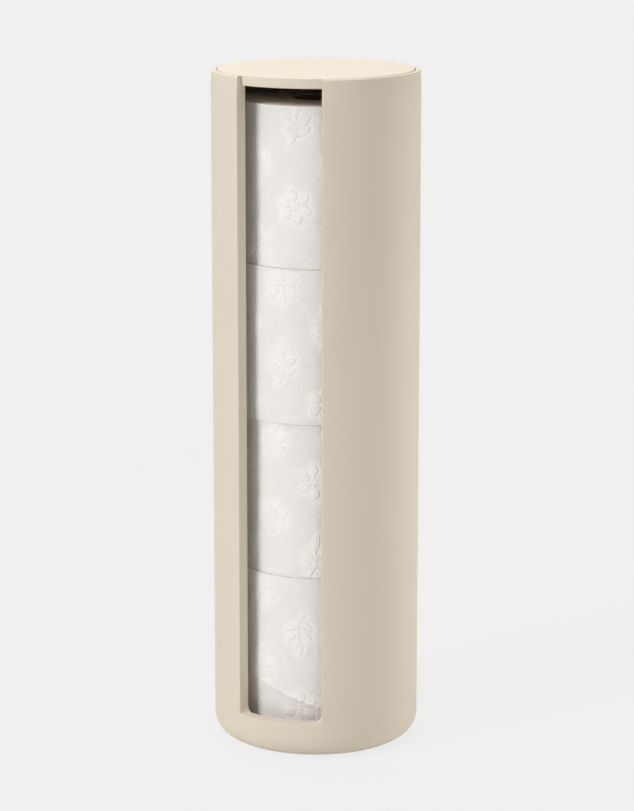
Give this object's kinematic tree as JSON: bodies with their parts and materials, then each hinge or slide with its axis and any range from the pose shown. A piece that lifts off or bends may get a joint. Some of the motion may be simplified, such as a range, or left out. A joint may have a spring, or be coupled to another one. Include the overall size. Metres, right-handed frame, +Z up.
{
  "type": "toilet roll storage holder",
  "caption": "Round free-standing tower that stores spare toilet rolls upright under a flush lift-off lid, with a tall hand slot in its front.",
  "frame": {"origin": "on the floor, on the tower's axis, at the underside of the non-slip pad", "axes": "+Z up along the tower's axis; the hand slot faces -Y; +X to the right of someone who faces the slot"},
  "size_m": [0.134, 0.134, 0.44],
  "materials": {
    "body_plastic": "fine matte, sand colour",
    "lid_plastic": "fine matte, sand colour",
    "pad_rubber": "matte grey-brown non-slip sheet",
    "screw_steel": "zinc plated",
    "tissue_paper": "soft white embossed tissue",
    "core_board": "plain brown board"
  },
  "bodies": {
    "holder": {"outer_shell": "body_plastic", "inner_liner": "body_plastic", "non_slip_pad": "pad_rubber", "liner_screws": "screw_steel"},
    "roll_1": {"roll_1_paper": "tissue_paper", "roll_1_core": "core_board"},
    "roll_2": {"roll_2_paper": "tissue_paper", "roll_2_core": "core_board"},
    "roll_3": {"roll_3_paper": "tissue_paper", "roll_3_core": "core_board"},
    "roll_4": {"roll_4_paper": "tissue_paper", "roll_4_core": "core_board"},
    "lid": {"lid": "lid_plastic"}
  },
  "joints": [
    {"name": "roll_1_lift", "type": "slide", "parent": "holder", "child": "roll_1", "axis": [0, 0, 1], "range_m": [0, 0.43]},
    {"name": "roll_2_lift", "type": "slide", "parent": "roll_1", "child": "roll_2", "axis": [0, 0, 1], "range_m": [0, 0.33]},
    {"name": "roll_3_lift", "type": "slide", "parent": "roll_2", "child": "roll_3", "axis": [0, 0, 1], "range_m": [0, 0.23]},
    {"name": "roll_4_lift", "type": "slide", "parent": "roll_3", "child": "roll_4", "axis": [0, 0, 1], "range_m": [0, 0.13]},
    {"name": "lid_lift", "type": "slide", "parent": "roll_4", "child": "lid", "axis": [0, 0, 1], "range_m": [0, 0.12]}
  ]
}
